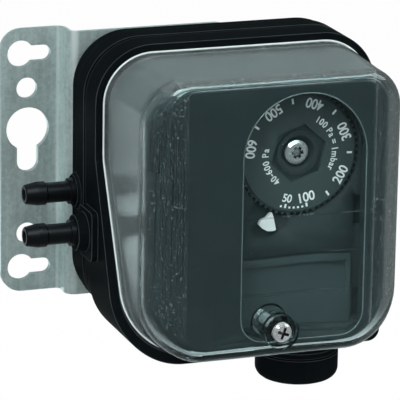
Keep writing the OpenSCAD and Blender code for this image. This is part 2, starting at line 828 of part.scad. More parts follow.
module teeth_outline() {
    step = 360 / teeth_n;
    root = teeth_r - 0.6;
    polygon([for (k = [0:teeth_n - 1])
        for (q = [[root, 0], [root, 0.5], [teeth_r, 0.62], [teeth_r, 0.88]])
        let (a = step * (k + q[1])) [q[0] * cos(a), q[0] * sin(a)]]);
}

// The screw in the spindle's cup, with a six-lobed recess
module dial_screw() {
    y = deck_front + 0.5;
    color(steel) difference() {
        union() {
            turned_y(dial_x, dial_z, [[0, y], [2.8, y], [3.05, y - 0.4], [2.95, y - 1], [2.3, y - 1.5],
                [0, y - 1.7]]);
            bar_y(dial_x, dial_z, 1.15, y + 4.8, 5);
        }
        for (a = [0, 60, 120]) translate([dial_x, y - 1.4, dial_z]) rotate([0, a, 0])
            cube([3, 1.4, 0.8], center = true);
        bar_y(dial_x, dial_z, 1.05, y - 0.7, 1.4);
    }
}

// The white arrow that reads against the dial
module pointer() {
    color([0.95, 0.96, 0.96]) fwd(pocket_floor, 1) translate([pocket_x, pocket_z])
        polygon([[1.35, 1.05], [1.8, 0], [2.5, -3.3], [1.9, -3.6], [0.4, -3.5], [-0.9, -2.8],
            [-1.95, -1.65], [-1.45, -0.7], [0, -0.1], [0.9, 0.9]]);
}

// The frame that fills the cover: front wall with the arched window, skirt and deck
module switch_frame() {
    color(black) difference() {
        union() {
            difference() {
                intersection() {
                    cover_form(cover_t + frame_gap);
                    fwd(floor_y, deep) tub_outline(skirt_in + 0.1);
                }
                difference() {
                    intersection() {
                        cover_form(cover_t + frame_gap + skirt_t);
                        fwd(eps, deep) tub_outline(skirt_in + 0.1 + skirt_t);
                    }
                    fwd(plate_back, deep) square(4 * deep, center = true);
                }
                fwd(plate_back + eps, deep) window();
            }
            frame_deck();
        }
        bar_y(dial_x, dial_z, neck_r + plunger_gap, deck_back + eps, deck_t + 2 * eps);
        bar_y(lock_x, lock_z, boss_r + 0.4, boss_back + 1.4, deep);
        bar_y(lock_x, lock_z, 3.6 + 0.2, 0, -lock_post_y + 0.3);
        bar_y(lock_x, lock_z, lock_r + 0.4, 0, deep);
        bar_y(pocket_x, pocket_z, pocket_r, pocket_floor, deep);
        fwd(deck_front + bay_ledge, deep) terminal_bay(0);
        fwd(deck_back + eps, deep) terminal_bay(1);
        for (x = frame_post_x) {
            bar_y(x, frame_post_z, frame_screw_r + screw_gap, 0, deep);
            bar_y(x, frame_post_z, 2.6, frame_head_y, deep);
        }
        // way for the cable
        translate([gland_x, -gland_y, -tub_low]) cylinder(h = 20, r = gland_thread_r + 0.6);
        side_slot();
        // two small pockets beside the terminal bay and the dial
        for (z = pocket_rows) translate([window_x + 14.95, -dial_y - eps, z])
            cube([2, 1 + eps, 7.2]);
    }
}

// A short round-ended slot in the left edge of the frame's front
module side_slot() {
    slot_z = 14.6;
    slot_x = 16.6;
    bar_y(slot_x, slot_z, 1.6, plate_back + 3, deep);
    translate([0, -deep, slot_z - 1.6]) cube([slot_x, deep + plate_back + 3, 3.2]);
}

module window() {
    translate([window_x, window_z]) circle(window_r);
    translate([window_x - window_r, window_low + window_corner])
        square([2 * window_r, window_z - window_low - window_corner]);
    translate([window_x - window_r + window_corner, window_low])
        square([2 * (window_r - window_corner), 20]);
    for (s = [-1, 1]) translate([window_x + s * (window_r - window_corner), window_low + window_corner])
        circle(window_corner);
}

// The deck behind the window, its side walls and the square guide of the spring nut
module frame_deck() {
    fwd(deck_back, deck_t) intersection() {
        tub_outline(skirt_in + 1);
        translate([deck_left, deck_low]) square([window_x + 21 - deck_left, deep]);
    }
    // floor of the dial's surroundings, level with the dial's face
    difference() {
        fwd(deck_front + eps, dial_y + deck_front + eps) intersection() {
            tub_outline(skirt_in + 1);
            translate([window_x - 18.4, deck_low]) square([36.8, deep]);
        }
        bar_y(dial_x, dial_z, teeth_r + 0.3, deck_front, deep);
    }
    // walls between the window and the deck
    difference() {
        fwd(deck_front + eps, deck_front - plate_back + 2 * eps) intersection() {
            tub_outline(skirt_in + 1);
            translate([window_x - 18.4, deck_low]) square([36.8, deep]);
        }
        fwd(deck_front + 2 * eps, deep) translate([window_x - 17, window_low])
            square([34, window_z + window_r + 1.95 - window_low]);
    }
    // guide of the spring nut
    difference() {
        fwd(guide_back, guide_back - deck_front) translate([dial_x, dial_z])
            square(nut_w + 3.4, center = true);
        fwd(0, -deck_back) translate([dial_x, dial_z]) square(nut_w + 0.2, center = true);
    }
    // sleeves of the frame screws
    for (x = frame_post_x) difference() {
        bar_y(x, frame_post_z, 3.4, frame_post_end, frame_post_end - deck_front);
        fwd(0, -deck_back) translate([dial_x, dial_z]) square(nut_w + 0.2, center = true);
    }
    // cheek with the two pegs that hold the microswitch
    cheek_x = micro_x + micro_w + 0.1;
    translate([cheek_x, plate_back - eps, micro_z])
        cube([1.8, micro_back - 4 - plate_back + eps, micro_h]);
    for (z = micro_pin_z) bar_x(micro_pin_y, z, 1.45, micro_x + 0.6, cheek_x + 1);
}

// Outline of the bay in the deck that the terminal cover closes, set in by i
module terminal_bay(i) {
    translate([window_x - 14.6 + i, -31.6 + i]) square([29.2 - 2 * i, 17.4 - 2 * i]);
}

// Two screws under the dial, their heads sunk in the deck
module frame_screws() {
    color(steel) for (x = frame_post_x) difference() {
        union() {
            bar_y(x, frame_post_z, frame_screw_r, floor_y - 4.5, floor_y - 4.5 - frame_head_y);
            bar_y(x, frame_post_z, 2.3, frame_head_y, 1.5);
        }
        for (a = [0, 90]) translate([x, frame_head_y - 1.5, frame_post_z]) rotate([0, a, 0])
            cube([2.8, 1.4, 0.6], center = true);
    }
}

module switch_body() {
    color([0.13, 0.13, 0.14]) difference() {
        translate([micro_x, micro_back - micro_d, micro_z])
            cube([micro_w, micro_d, micro_h]);
        for (z = micro_pin_z) bar_x(micro_pin_y, z, 1.5, micro_x - eps, micro_x + micro_w + eps);
        bar_y(button_x, button_z, 1.3, micro_back + eps, 2.8 + eps);
    }
}

module switch_button() {
    color([0.75, 0.2, 0.15]) bar_y(button_x, button_z, 1.25, rocker_front - 0.15, 2.5);
}

// Three nested strips from the microswitch to the terminal clamps
module switch_contacts() {
    w = 2.2;
    t = 0.6;
    color(brass) for (k = [0:2]) {
        x0 = micro_x + 7.4 - 3 * k;
        x1 = term_x(k);
        z0 = term_z0 + 7.6 - 3.2 * k;
        fwd(term_back + t, t) {
            translate([x0, z0]) square([w, micro_z - z0]);
            translate([x0, z0]) square([x1 + w / 2 - x0, w]);
        }
        translate([x1 - w / 2, term_back - 0.9, z0]) cube([w, 0.9 + t, w]);
    }
}

// Middle of terminal k
function term_x(k) = term_x0 + term_w / 2 + 1.4 + term_pitch * k;

module terminal_block() {
    color([0.2, 0.21, 0.22]) difference() {
        translate([term_x0, term_back - term_d, term_z0])
            cube([2 * term_pitch + term_w + 2.8, term_d, term_h]);
        for (k = [0:2]) {
            translate([term_x(k) - term_w / 2, term_back - term_d - eps, term_z0 + term_wall])
                cube([term_w, term_d - 1 + eps, term_h - 2 * term_wall]);
            translate([term_x(k) - 1.3, term_back - 2, term_z0 + 7.4 - 3.2 * k]) cube([2.6, 3, 2.6]);
        }
    }
}

module terminal_clamps() {
    color(brass) for (k = [0:2]) difference() {
        translate([term_x(k) - term_w / 2 + 0.2, term_back - term_d + 0.4, term_z0 + term_wall + 0.2])
            cube([term_w - 0.4, term_d - 1.4, term_h - 2 * term_wall - 0.4]);
        bar_y(term_x(k), term_mid, term_screw_r + screw_gap, term_back, term_d);
        bar_y(term_x(k), term_mid, 2.8, term_back - 6.2, 8);
    }
}

module terminal_screws() {
    color(steel) for (k = [0:2]) difference() {
        union() {
            bar_y(term_x(k), term_mid, term_screw_r, term_back - 2, 6);
            bar_y(term_x(k), term_mid, 2.7, term_back - 6.2, 1.6);
        }
        translate([term_x(k), term_back - 7.8, term_mid]) cube([6, 1.4, 0.7], center = true);
    }
}

// The plate over the terminals: two fields, the upper one hollowed
module terminal_cover() {
    y0 = deck_front + bay_ledge;
    color(grey) difference() {
        fwd(y0, y0 + dial_y) terminal_bay(0.1);
        fwd(-dial_y + 0.8, deep) translate([window_x - 13.4, -24]) square([26.8, 7.8]);
        bar_y(lock_x, lock_z, boss_r + 0.4, 0, deep);
    }
}

// The clear cover with its screw boss
module cover() {
    color(clear) difference() {
        union() {
            difference() {
                cover_form(0);
                cover_form(cover_t);
            }
            bar_y(lock_x, lock_z, boss_r, boss_back, front_y + boss_out + boss_back);
        }
        difference() {
            translate([-deep, -deep, -deep]) cube([3 * deep, deep + 10, 2 * deep]);
            before_rim(0);
        }
        bar_y(lock_x, lock_z, lock_r + 0.3, 0, deep);
        bar_y(lock_x, lock_z, 2.9, -front_y, deep);
        // thin lines across the inside of the window
        for (z = window_lines) translate([window_x - window_r, -front_y + cover_t - 0.25, z - 0.15])
            cube([2 * window_r, 1, 0.3]);
    }
}

// The cover screw's shank, from the neck in the cover to the post in the tub
module screw_shank() {
    color(steel) bar_y(lock_x, lock_z, lock_r, lock_post_y + 6, front_y - lock_neck + lock_post_y + 6);
}

// The cover screw's pan head with a cross recess, and its neck
module cover_screw() {
    color(steel) difference() {
        union() {
            bar_y(lock_x, lock_z, lock_r, lock_neck - front_y, lock_neck + 0.6);
            turned_y(lock_x, lock_z, [[0, -front_y], [2.4, -front_y], [2.4, -front_y - 1.4],
                [1.9, -front_y - 2.1], [0, -front_y - 2.4]]);
        }
        for (a = [0, 90]) translate([lock_x, -front_y - 2, lock_z]) rotate([0, a + 20, 0])
            cube([3, 1.8, 0.7], center = true);
    }
}

// The ring that keeps the screw in the cover
module screw_ring() {
    color(rubber) turned_y(lock_x, lock_z, [[lock_r, boss_back + 1], [2.6, boss_back + 1],
        [2.6, boss_back + 0.2], [lock_r, boss_back + 0.2]]);
}

module gland_body() {
    color(black) turned_z(gland_x, -gland_y, [[cable_r + 1.6, gland_end],
        [gland_thread_r, gland_end], [gland_thread_r, entry_low - 1.4],
        [nut_r - 0.4, entry_low - 1.4], [nut_r - 0.4, entry_low],
        [gland_thread_r, entry_low], [gland_thread_r, -tub_low + 7], [cable_r + 1.6, -tub_low + 7]]);
}

module gland_seal() {
    color(rubber) turned_z(gland_x, -gland_y, [[cable_r, gland_end - 2.8], [6.6, gland_end - 2.8],
        [7, gland_end], [cable_r, gland_end]]);
}

module gland_nut() {
    z0 = entry_low - 1.7;
    z1 = z0 - nut_h;
    color(black) turned_z(gland_x, -gland_y, concat([[gland_thread_r + 0.3, z0], [nut_r, z0]],
        arc(nut_r - 2.6, z1 + 2.6, 2.6, 0, -90, 6), [[cable_r + 1, z1], [cable_r + 1, z1 + 1.4],
            [gland_thread_r + 0.3, z1 + 1.4]]));
}

bracket();
bracket_screws();
rear_shell();
shell_screws();
nozzle_high();
nozzle_low();
diaphragm();
diaphragm_plate();
plunger();
front_shell();
cover_gasket();
rocker();
rocker_pin();
range_spring();
spring_nut();
dial_spindle();
dial();
dial_screw();
pointer();
switch_frame();
switch_body();
switch_button();
switch_contacts();
frame_screws();
terminal_block();
terminal_clamps();
terminal_screws();
terminal_cover();
cover();
cover_screw();
screw_shank();
screw_ring();
gland_body();
gland_seal();
gland_nut();
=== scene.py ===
"""Looks of the differential pressure switch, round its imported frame. Everything is in metres."""
import json
import math

import bpy
import bmesh
from mathutils import Matrix, Vector

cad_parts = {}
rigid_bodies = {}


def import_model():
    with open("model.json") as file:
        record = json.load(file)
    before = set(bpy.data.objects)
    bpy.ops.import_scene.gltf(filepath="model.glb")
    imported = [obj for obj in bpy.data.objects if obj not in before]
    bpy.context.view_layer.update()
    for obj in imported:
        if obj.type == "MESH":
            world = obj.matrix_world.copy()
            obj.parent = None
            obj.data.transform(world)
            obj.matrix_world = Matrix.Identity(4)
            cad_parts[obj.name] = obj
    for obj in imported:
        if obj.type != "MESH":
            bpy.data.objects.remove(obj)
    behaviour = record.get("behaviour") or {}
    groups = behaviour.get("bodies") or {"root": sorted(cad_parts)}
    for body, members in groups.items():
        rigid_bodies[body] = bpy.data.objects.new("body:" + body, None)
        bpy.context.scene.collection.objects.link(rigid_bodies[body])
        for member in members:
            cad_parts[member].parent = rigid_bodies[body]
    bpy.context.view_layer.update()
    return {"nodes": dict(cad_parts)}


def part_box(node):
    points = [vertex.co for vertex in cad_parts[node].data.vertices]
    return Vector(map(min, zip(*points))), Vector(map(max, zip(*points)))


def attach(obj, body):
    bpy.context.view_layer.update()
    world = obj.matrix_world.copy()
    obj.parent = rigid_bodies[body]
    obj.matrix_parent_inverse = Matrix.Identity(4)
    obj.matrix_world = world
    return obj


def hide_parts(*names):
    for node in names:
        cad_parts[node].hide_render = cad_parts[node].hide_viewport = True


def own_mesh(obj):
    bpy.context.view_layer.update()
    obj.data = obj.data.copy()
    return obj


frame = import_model()
MM = 0.001
nodes = frame["nodes"]


# ---------------------------------------------------------------- materials
class Nodes:
    """A material and short calls to fill its node tree."""

    def __init__(self, name):
        self.mat = bpy.data.materials.new(name)
        self.mat.use_nodes = True
        self.tree = self.mat.node_tree
        self.tree.nodes.clear()
        self.out = self.add("ShaderNodeOutputMaterial")
        self.coords = self.add("ShaderNodeTexCoord").outputs["Object"]

    def add(self, kind, **settings):
        node = self.tree.nodes.new(kind)
        for key, value in settings.items():
            setattr(node, key, value)
        return node

    def link(self, a, b):
        self.tree.links.new(a, b)

    def stretched(self, scale):
        """The object coordinates times a scale for each axis."""
        node = self.add("ShaderNodeMapping")
        node.inputs["Scale"].default_value = scale
        self.link(self.coords, node.inputs["Vector"])
        return node.outputs["Vector"]

    def noise(self, scale, detail=2.0, rough=0.5, vector=None, distortion=0.0):
        node = self.add("ShaderNodeTexNoise")
        node.inputs["Scale"].default_value = scale
        node.inputs["Detail"].default_value = detail
        node.inputs["Roughness"].default_value = rough
        node.inputs["Distortion"].default_value = distortion
        self.link(vector or self.coords, node.inputs["Vector"])
        return node.outputs["Fac"]

    def cells(self, scale, vector=None, feature="F1"):
        node = self.add("ShaderNodeTexVoronoi", feature=feature)
        node.inputs["Scale"].default_value = scale
        self.link(vector or self.coords, node.inputs["Vector"])
        return node

    def ramp(self, value, stops):
        """A colour ramp: stops are (place, colour or grey)."""
        node = self.add("ShaderNodeValToRGB")
        ramp = node.color_ramp
        while len(ramp.elements) < len(stops):
            ramp.elements.new(0.5)
        for element, (place, tone) in zip(ramp.elements, stops):
            element.position = place
            tone = (tone,) * 3 if isinstance(tone, (int, float)) else tone
            element.color = (*tone, 1)
        self.link(value, node.inputs["Fac"])
        return node.outputs["Color"]

    def math(self, kind, a, b=None):
        node = self.add("ShaderNodeMath", operation=kind)
        for socket, value in zip(node.inputs, (a, b)):
            if value is None:
                continue
            if isinstance(value, (int, float)):
                socket.default_value = value
            else:
                self.link(value, socket)
        return node.outputs["Value"]

    def mix(self, share, a, b):
        """Two colours mixed by a share."""
        node = self.add("ShaderNodeMix", data_type="RGBA")
        for socket, value in ((node.inputs[0], share), (node.inputs[6], a), (node.inputs[7], b)):
            if isinstance(value, (int, float)):
                socket.default_value = value
            elif isinstance(value, tuple):
                socket.default_value = (*value, 1)
            else:
                self.link(value, socket)
        return node.outputs[2]

    def bump(self, height, strength, distance):
        node = self.add("ShaderNodeBump")
        node.inputs["Strength"].default_value = strength
        node.inputs["Distance"].default_value = distance
        self.link(height, node.inputs["Height"])
        return node.outputs["Normal"]

    def surface(self, color=None, rough=None, normal=None, **plain):
        """The shader: linked colour, roughness and normal, and plain socket values."""
        node = self.add("ShaderNodeBsdfPrincipled")
        for name, value in (("Base Color", color), ("Roughness", rough), ("Normal", normal)):
            if isinstance(value, tuple):
                node.inputs[name].default_value = (*value, 1)
            elif isinstance(value, (int, float)):
                node.inputs[name].default_value = value
            elif value is not None:
                self.link(value, node.inputs[name])
        for name, value in plain.items():
            node.inputs[name.replace("_", " ")].default_value = value
        self.link(node.outputs["BSDF"], self.out.inputs["Surface"])
        return node

    def axis(self, name):
        """One object coordinate, in metres."""
        node = self.add("ShaderNodeSeparateXYZ")
        self.link(self.coords, node.inputs[0])
        return node.outputs[name]


def zinc(name="zinc_sheet"):
    """Zinc plated sheet: fine spangle, upright brushing, dark specks, and a painted highlight along each of the two
    bends.
    """
    m = Nodes(name)
    brushed = m.noise(700, 4, 0.65, m.stretched((1, 1, 0.05)))
    grains = m.cells(1100).outputs["Color"]
    speck = m.noise(2600, 2, 0.6)
    cloud = m.noise(75, 4, 0.6)
    tone = m.mix(0.3, m.ramp(cloud, [(0.3, (0.32, 0.43, 0.425)), (0.7, (0.56, 0.70, 0.69))]),
                 m.ramp(grains, [(0.2, (0.34, 0.45, 0.445)), (0.8, (0.62, 0.77, 0.76))]))
    streak = m.math("MULTIPLY", m.ramp(brushed, [(0.45, 0.0), (0.7, 1.0)]), 0.35)
    tone = m.mix(streak, tone, (0.74, 0.88, 0.87))
    tone = m.mix(m.math("MULTIPLY", m.ramp(speck, [(0.6, 0.0), (0.7, 1.0)]), 0.4), tone, (0.15, 0.21, 0.21))
    # Painted highlights: a lighter band along each bend; the inner bend's band is painted stronger towards the top.
    highlight_towards_top = m.ramp(m.math("MULTIPLY", m.axis("Z"), 1 / (100 * MM)), [(0.12, 0.3), (0.3, 1.0)])
    for bend_x, half_width, strength in ((7.9, 0.5, 0.5), (10.4, 1.2, highlight_towards_top)):
        off = m.math("ABSOLUTE", m.math("SUBTRACT", m.math("MULTIPLY", m.axis("X"), 1 / MM), bend_x))
        bend_highlight_band = m.ramp(m.math("MULTIPLY", off, 1 / half_width), [(0.3, 1.0), (1.0, 0.0)])
        bend_highlight_strength = m.math("MULTIPLY", m.math("ADD", cloud, 0.4), strength)
        tone = m.mix(m.math("MULTIPLY", bend_highlight_band, bend_highlight_strength), tone, (0.82, 0.97, 0.96))
    rough = m.math("ADD", m.math("MULTIPLY", brushed, 0.22), 0.24)
    m.surface(tone, rough, m.bump(m.math("ADD", brushed, m.math("MULTIPLY", cloud, 0.6)), 0.18, 0.0002),
              Metallic=0.6)
    return m.mat


def moulded(name, tone, grain_mm=0.25, depth=0.3, rough=(0.42, 0.6), specular=0.25, glint_flecks=0.0, edge_highlight=0.0):
    """Moulded black plastic: an even grain, faint clouding, roughness that wanders a little.
    When glint flecks are asked for, coarse grain lies beside the flat front only, with lighter flecks on it that are
    painted glints. Edges are painted lighter as a highlight."""
    m = Nodes(name)
    grain = m.noise(1 / (grain_mm * MM), 2, 0.6)
    if glint_flecks:
        beside = m.math("GREATER_THAN", m.math("ABSOLUTE", m.math("SUBTRACT", m.axis("X"), 45.3 * MM)),
                        23.6 * MM)
        grain = m.math("MULTIPLY", grain, m.math("ADD", m.math("MULTIPLY", beside, 0.95), 0.05))
    cloud = m.noise(60, 3, 0.5)
    dark = tuple(c * 0.8 for c in tone)
    light = tuple(c * 1.3 for c in tone)
    color = m.mix(cloud, dark, light)
    if glint_flecks:
        # Painted glints: lighter flecks beside the flat front stand for glints off the grain.
        fleck = m.ramp(m.noise(0.6 / (grain_mm * MM), 1, 0.5), [(0.6, 0.0), (0.72, 1.0)])
        fleck = m.math("MULTIPLY", fleck, beside)
        color = m.mix(m.math("MULTIPLY", fleck, glint_flecks), color, tuple(c * 4 + 0.02 for c in tone))
    if edge_highlight:
        # Painted highlight: where the bevelled normal turns from the true one, the colour is mixed towards a lighter
        # grey.
        round_edge = m.add("ShaderNodeBevel", samples=6)
        round_edge.inputs["Radius"].default_value = 0.35 * MM
        turned = m.add("ShaderNodeVectorMath", operation="DOT_PRODUCT")
        m.link(round_edge.outputs["Normal"], turned.inputs[0])
        m.link(m.add("ShaderNodeNewGeometry").outputs["Normal"], turned.inputs[1])
        edge = m.ramp(m.math("SUBTRACT", 1.0, turned.outputs["Value"]), [(0.02, 0.0), (0.16, 1.0)])
        edge = m.math("MULTIPLY", m.math("MULTIPLY", edge, edge_highlight), m.math("ADD", cloud, 0.3))
        color = m.mix(edge, color, (0.16, 0.19, 0.195))
    span = m.math("MULTIPLY", grain, rough[1] - rough[0])
    m.surface(color, m.math("ADD", span, rough[0]), m.bump(grain, depth, grain_mm * MM * 0.4),
              Specular_IOR_Level=specular)
    return m.mat


def clear_plastic(name="clear_plastic"):
    """The clear cover: a polished pane in front, grained round it, and lamps pass through it."""
    m = Nodes(name)
    beside = m.math("GREATER_THAN", m.math("ABSOLUTE", m.math("SUBTRACT", m.axis("X"), BODY_X * MM)),
                    PANE_HALF * MM)
    above = m.math("GREATER_THAN", m.axis("Z"), PANE_TOP * MM)
    below = m.math("LESS_THAN", m.axis("Z"), PANE_LOW * MM)
    ends = m.math("MAXIMUM", above, below)
    grained = m.math("MAXIMUM", beside, ends)
    behind = m.math("GREATER_THAN", m.axis("Y"), (SIDE_R - FRONT) * MM)
    inside = m.math("GREATER_THAN", m.axis("Y"), (TOP_R - FRONT) * MM)
    walls = m.math("MAXIMUM", m.math("MULTIPLY", beside, behind), m.math("MULTIPLY", ends, inside))
    wave = m.noise(35, 2, 0.5)
    grain = m.noise(3200, 2, 0.6)
    fleck = m.ramp(m.noise(1900, 1, 0.5), [(0.64, 0.0), (0.72, 1.0)])
    haze = m.noise(150, 3, 0.6)
    rough = m.math("ADD", m.math("MULTIPLY", haze, 0.03), 0.01)
    rough = m.math("ADD", rough, m.math("MULTIPLY", grained, 0.07))
    height = m.math("ADD", m.math("MULTIPLY", wave, 0.04), m.math("MULTIPLY", m.math("MULTIPLY", grain, grained), 0.02))
    milky = m.math("MULTIPLY", walls, m.math("ADD", m.math("MULTIPLY", haze, 0.04), 0.02))
    milky = m.math("ADD", milky, m.math("MULTIPLY", m.math("MULTIPLY", grained, fleck), 0.11))
    glass = m.surface((0.80, 0.90, 0.90), rough, m.bump(height, 1.0, 0.001), IOR=1.49)
    m.link(m.math("SUBTRACT", 1.0, milky), glass.inputs["Transmission Weight"])
    glass.inputs["Specular Tint"].default_value = (0.8, 1, 1, 1)
    passing = m.add("ShaderNodeBsdfTransparent")
    passing.inputs["Color"].default_value = (0.95, 0.97, 0.97, 1)
    path = m.add("ShaderNodeLightPath")
    both = m.add("ShaderNodeMixShader")
    m.link(path.outputs["Is Shadow Ray"], both.inputs["Fac"])
    m.link(glass.outputs["BSDF"], both.inputs[1])
    m.link(passing.outputs["BSDF"], both.inputs[2])
    m.link(both.outputs["Shader"], m.out.inputs["Surface"])
    return m.mat


def metal(name, tone, rough=0.25, lines=600):
    """Plated screws and turned brass: fine turning marks, small stains, and painted shade in recesses."""
    m = Nodes(name)
    fine = m.noise(lines, 3, 0.6)
    stain = m.noise(220, 3, 0.6)
    color = m.mix(m.math("MULTIPLY", stain, 0.5), tone, tuple(c * 0.72 for c in tone))
    # Painted shade: where ambient occlusion finds a recess, the colour goes almost black.
    recess_shade = m.add("ShaderNodeAmbientOcclusion", only_local=True, samples=8)
    recess_shade.inputs["Distance"].default_value = 1.6 * MM
    color = m.mix(m.ramp(recess_shade.outputs["AO"], [(0.35, 0.0), (0.85, 1.0)]), tuple(c * 0.07 for c in tone), color)
    m.surface(color, m.math("ADD", m.math("MULTIPLY", fine, 0.2), rough - 0.1),
              m.bump(fine, 0.1, 0.00005), Metallic=0.75)
    return m.mat


def soft_rubber(name="rubber"):
    m = Nodes(name)
    grain = m.noise(2500, 2, 0.5)
    color = m.mix(m.noise(120, 3, 0.5), (0.010, 0.010, 0.011), (0.022, 0.022, 0.023))
    m.surface(color, m.math("ADD", m.math("MULTIPLY", grain, 0.2), 0.6), m.bump(grain, 0.2, 0.0001),
              Specular_IOR_Level=0.25)
    return m.mat


def smooth_paint(name, tone, rough=0.35):
    """Printed marks and small bright plastic pieces."""
    m = Nodes(name)
    grain = m.noise(1800, 2, 0.5)
    color = m.mix(m.noise(300, 2, 0.5), tone, tuple(c * 0.9 for c in tone))
    m.surface(color, m.math("ADD", m.math("MULTIPLY", grain, 0.15), rough - 0.05),
              m.bump(grain, 0.05, 0.00005))
    return m.mat


def rim_plastic(name="rim_plastic"):
    """The edge of the clear plastic, painted a light milky tone that stands for a highlight along it."""
    m = Nodes(name)
    cloud = m.noise(400, 2, 0.5)
    color = m.mix(cloud, (0.62, 0.74, 0.74), (0.86, 0.95, 0.95))
    m.surface(color, m.math("ADD", m.math("MULTIPLY", cloud, 0.1), 0.12), m.bump(cloud, 0.1, 0.00005),
              IOR=1.49, Transmission_Weight=0.25)
    return m.mat


BODY_X, FRONT, SIDE_R, TOP_R = 45.3, 61.0, 9.5, 2.6
PANE_HALF, PANE_TOP, PANE_LOW = 23.6, 30.0, -37.0
BLACK = (0.0035, 0.0050, 0.0058)
LOOKS = {
    "zinc": zinc(),
    "shell": moulded("black_plastic", BLACK, 0.3, 0.25, (0.45, 0.6), 0.005, edge_highlight=0.5),
    "nozzle": moulded("nozzle_plastic", (0.0035, 0.0045, 0.0055), 0.5, 0.15, (0.34, 0.46), 0.13),
    "frame": moulded("frame_plastic", (0.0215, 0.0315, 0.0340), 0.35, 0.9, (0.5, 0.7), 0.10, 0.12),
    "plate": moulded("plate_plastic", (0.042, 0.062, 0.065), 0.6, 0.1, (0.5, 0.6), 0.3),
    # The bead's light grey, far lighter than the frame, is a painted highlight.
    "bead": moulded("bead_highlight_plastic", (0.13, 0.165, 0.165), 0.5, 0.05, (0.15, 0.25), 0.9),
    "spindle": moulded("spindle_plastic", (0.028, 0.042, 0.044), 0.5, 0.15, (0.45, 0.6), 0.2),
    "dial": moulded("dial_plastic", (0.044, 0.063, 0.064), 0.5, 0.12, (0.45, 0.55), 0.3),
    "inner": moulded("inner_plastic", (0.016, 0.018, 0.020), 0.3, 0.2, (0.45, 0.6), 0.3),
    "clear": clear_plastic(),
    "rim": rim_plastic(),
    "steel": metal("steel", (0.86, 0.89, 0.89), 0.24),
    "dark_steel": metal("dull_steel", (0.62, 0.65, 0.66), 0.38),
    "brass": metal("brass", (0.80, 0.62, 0.30), 0.3),
    "rubber": soft_rubber(),
    "white": smooth_paint("white_plastic", (0.96, 0.98, 0.98)),
    "print": smooth_paint("white_print", (0.98, 1.0, 1.0), 0.5),
    "red": smooth_paint("red_plastic", (0.55, 0.06, 0.05)),
}
NODE_LOOK = {
    "zinc": ["bracket", "rocker"],
    "shell": ["rear_shell", "front_shell", "gland_body", "gland_nut"],
    "nozzle": ["nozzle_high", "nozzle_low"],
    "frame": ["switch_frame"],
    "plate": ["terminal_cover"],
    "dial": ["dial"],
    "spindle": ["dial_spindle"],
    "inner": ["switch_body", "terminal_block"],
    "clear": ["cover"],
    "steel": ["cover_screw", "dial_screw", "bracket_screws", "shell_screws", "frame_screws",
              "terminal_screws", "screw_shank"],
    "dark_steel": ["diaphragm_plate", "plunger", "rocker_pin", "range_spring"],
    "brass": ["spring_nut", "switch_contacts", "terminal_clamps"],
    "rubber": ["diaphragm", "cover_gasket", "screw_ring", "gland_seal"],
    "white": ["pointer"],
    "red": ["switch_button"],
}
for look, names in NODE_LOOK.items():
    for name in names:
        data = nodes[name].data
        data.materials.clear()
        data.materials.append(LOOKS[look])


# ---------------------------------------------------------------- pieces
def mesh_piece(name, mesh, look, body):
    """Puts a finished mesh in the scene as a piece that rides on a body."""
    piece = bpy.data.objects.new(name, mesh)
    bpy.context.scene.collection.objects.link(piece)
    mesh.materials.clear()
    mesh.materials.append(LOOKS[look])
    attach(piece, body)
    return piece


def box_at(bm, half, place):
    """A small box: half sizes along its own axes, and a matrix."""
    made = bmesh.ops.create_cube(bm, size=2.0)
    bmesh.ops.transform(bm, matrix=place @ Matrix.Diagonal((*half, 1)), verts=made["verts"])


# the printed scale of the dial
DIAL_X, DIAL_Y, DIAL_Z = 52.6 * MM, -52.5 * MM, 11.5 * MM
PRINT_T = 0.03 * MM


def on_dial(radius, angle, tops_out=False):
    """The place of a mark on the dial's face: its own X, Y and Z along the reading direction,
    the top of the letters and out of the face."""
    a = math.radians(angle)
    out = Vector((math.cos(a), 0, math.sin(a)))
    up = out if tops_out else -out
    face = Vector((0, -1, 0))
    right = up.cross(face)
    at = Vector((DIAL_X, DIAL_Y, DIAL_Z)) + out * radius
    turn = Matrix((right, up, face)).transposed().to_4x4()
    return Matrix.Translation(at) @ turn


def add_text(bm, words, height, place, squeeze=0.92):
    """Adds flat raised letters, centred, their capital height given."""
    curve = bpy.data.curves.new("letters", "FONT")
    curve.body = words
    curve.align_x = "CENTER"
    curve.size = height / 0.7
    curve.resolution_u = 4
    curve.extrude = PRINT_T / 2
    curve.offset = 0.025 * height
    curve.space_character = 0.95
    holder = bpy.data.objects.new("letters", curve)
    bpy.context.scene.collection.objects.link(holder)
    bpy.context.view_layer.update()
    mesh = bpy.data.meshes.new_from_object(holder.evaluated_get(bpy.context.evaluated_depsgraph_get()))
    mesh.transform(place @ Matrix.Diagonal((squeeze, 1, 1, 1)) @ Matrix.Translation((0, -height / 2, 0)))
    bm.from_mesh(mesh)
    bpy.data.objects.remove(holder)
    bpy.data.curves.remove(curve)
    bpy.data.meshes.remove(mesh)


# the cover's form: sections across the depth, their corners blending into the front
COVER_TOP, COVER_LOW = 32.9, -39.0
LOW_R, RIM = 3.4, 29.6
SIDE_DRAFT, TOP_DRAFT, LOW_DRAFT, HALF = 1.3, 0.3, 1.6, 34.5


